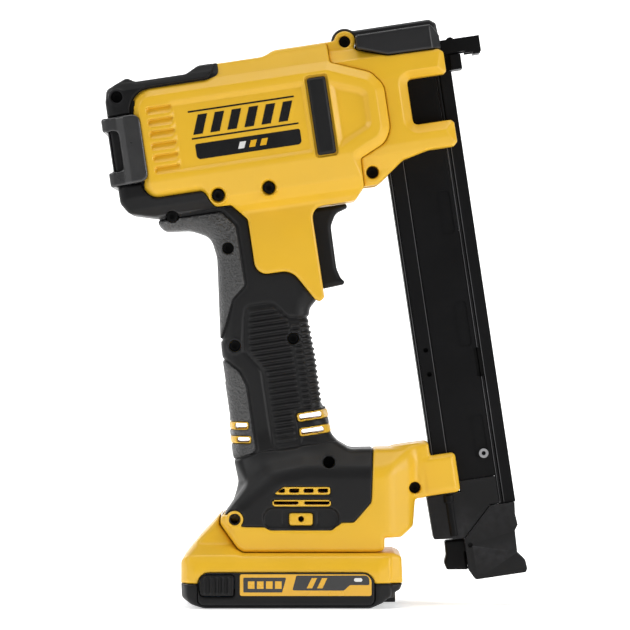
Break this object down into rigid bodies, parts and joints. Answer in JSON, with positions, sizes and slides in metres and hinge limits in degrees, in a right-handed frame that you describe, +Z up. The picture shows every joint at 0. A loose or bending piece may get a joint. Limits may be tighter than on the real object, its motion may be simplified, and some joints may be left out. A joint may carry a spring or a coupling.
{
  "type": "cordless cable stapler",
  "caption": "Battery-powered fastener driver with a pistol grip, spring-driven head, forked nose, tall magazine square to the drive axis, and a slide-on battery it stands on.",
  "frame": {"origin": "on the ground under the middle of the tool's overall box", "axes": "+X towards the nose, +Y to the tool's left side, +Z up through the grip"},
  "size_m": [0.2088, 0.08, 0.2882],
  "materials": {
    "yellow_housing": "satin glass-filled nylon",
    "black_casing": "fine textured nylon",
    "soft_grip": "dimpled soft elastomer",
    "grey_rubber": "matt rubber",
    "label_film": "gloss film",
    "black_metal": "satin black coating",
    "steel": "machined",
    "spring_steel": "drawn wire",
    "brass": "turned",
    "circuit_board": "solder mask",
    "cell_wrap": "shrink wrap"
  },
  "bodies": {
    "tool": {"housing_right": "yellow_housing", "housing_left": "yellow_housing", "nose_housing_right": "yellow_housing", "nose_housing_left": "yellow_housing", "rear_cap_right": "black_casing", "rear_cap_left": "black_casing", "nose_top_cover": "black_casing", "magazine_bracket": "black_casing", "trigger_switch": "black_casing", "terminal_block": "black_casing", "grip_overmould_right": "soft_grip", "grip_overmould_left": "soft_grip", "side_pad_right": "soft_grip", "side_pad_left": "soft_grip", "driver_buffer": "soft_grip", "rear_bumper": "grey_rubber", "magazine_channel": "black_metal", "nose_block": "black_metal", "housing_screws": "steel", "magazine_screws": "steel", "lifter_bearings": "steel", "drive_plates": "steel", "motor_can": "steel", "spring_guide": "steel", "staple_stick": "steel", "main_spring": "spring_steel", "trigger_spring": "spring_steel", "trip_springs": "spring_steel", "hook_inserts": "brass", "control_board": "circuit_board"},
    "trigger": {"trigger": "black_casing"},
    "contact_trip": {"contact_trip": "black_metal"},
    "depth_wheel": {"depth_wheel": "black_metal"},
    "driver": {"driver_piston": "steel"},
    "rotor": {"motor_rotor": "steel"},
    "idler": {"idler_gear": "steel"},
    "lifter": {"lifter_gear": "steel", "lifter_wheel": "steel", "lifter_shaft": "steel"},
    "magazine_slide": {"magazine_cover": "black_metal", "magazine_end_block": "black_casing", "guide_rod": "steel", "latch_pin": "steel", "pusher_spring": "spring_steel", "latch_spring": "spring_steel"},
    "pusher": {"pusher": "black_casing"},
    "latch": {"latch_lever": "black_casing"},
    "battery": {"battery_base": "black_casing", "battery_cover": "yellow_housing", "battery_panel_right": "black_casing", "battery_panel_left": "black_casing", "battery_labels": "label_film", "battery_cells": "cell_wrap", "cell_combs": "black_casing", "battery_contacts": "brass", "battery_board": "circuit_board", "release_spring_right": "spring_steel", "release_spring_left": "spring_steel"},
    "release_right": {"release_button_right": "black_casing"},
    "release_left": {"release_button_left": "black_casing"}
  },
  "joints": [
    {"name": "trigger_squeeze", "type": "slide", "parent": "tool", "child": "trigger", "axis": [-0.989, 0, -0.1478], "range_m": [0, 0.006], "stiffness_N_per_m": 500, "springref_m": -0.012, "deforming": ["trigger_spring"]},
    {"name": "contact_trip_press", "type": "slide", "parent": "tool", "child": "contact_trip", "axis": [-0.989, 0, -0.1478], "range_m": [0, 0.006], "stiffness_N_per_m": 600, "springref_m": -0.01, "deforming": ["trip_springs"]},
    {"name": "depth_wheel_turn", "type": "hinge", "parent": "tool", "child": "depth_wheel", "pos_m": [0.06666, 0, 0.27791], "axis": [0, 1, 0], "range_deg": [-135, 135]},
    {"name": "driver_stroke", "type": "slide", "parent": "tool", "child": "driver", "axis": [0.989, 0, 0.1478], "range_m": [0, 0.036], "deforming": ["main_spring"]},
    {"name": "lifter_spin", "type": "hinge", "parent": "tool", "child": "lifter", "pos_m": [-0.03907, 0, 0.23683], "axis": [0, 1, 0], "continuous": true},
    {"name": "idler_spin", "type": "hinge", "parent": "tool", "child": "idler", "pos_m": [-0.05573, 0, 0.22405], "axis": [0, 1, 0], "continuous": true},
    {"name": "motor_spin", "type": "hinge", "parent": "tool", "child": "rotor", "pos_m": [-0.07297, 0, 0.2176], "axis": [0, 1, 0], "continuous": true},
    {"name": "magazine_draw", "type": "slide", "parent": "tool", "child": "magazine_slide", "axis": [0.1478, 0, -0.989], "range_m": [0, 0.12]},
    {"name": "pusher_travel", "type": "slide", "parent": "magazine_slide", "child": "pusher", "axis": [0.1478, 0, -0.989], "range_m": [0, 0.1], "stiffness_N_per_m": 20, "springref_m": -0.1, "deforming": ["pusher_spring"]},
    {"name": "latch_squeeze", "type": "hinge", "parent": "magazine_slide", "child": "latch", "pos_m": [0.07646, 0, 0.02963], "axis": [0, -1, 0], "range_deg": [0, 8], "stiffness_Nm_per_rad": 0.3, "springref_deg": -17.19, "deforming": ["latch_spring"]},
    {"name": "battery_slide", "type": "slide", "parent": "tool", "child": "battery", "axis": [-1, 0, 0], "range_m": [0, 0.11]},
    {"name": "release_button_right_press", "type": "slide", "parent": "battery", "child": "release_right", "axis": [0, 1, 0], "range_m": [0, 0.0022], "stiffness_N_per_m": 800, "springref_m": -0.004, "deforming": ["release_spring_right"]},
    {"name": "release_button_left_press", "type": "slide", "parent": "battery", "child": "release_left", "axis": [0, -1, 0], "range_m": [0, 0.0022], "stiffness_N_per_m": 800, "springref_m": -0.004, "deforming": ["release_spring_left"]}
  ],
  "couplings": [
    {"joint": "idler_spin", "follows": "lifter_spin", "ratio": -3.2},
    {"joint": "motor_spin", "follows": "lifter_spin", "ratio": 11.52}
  ]
}
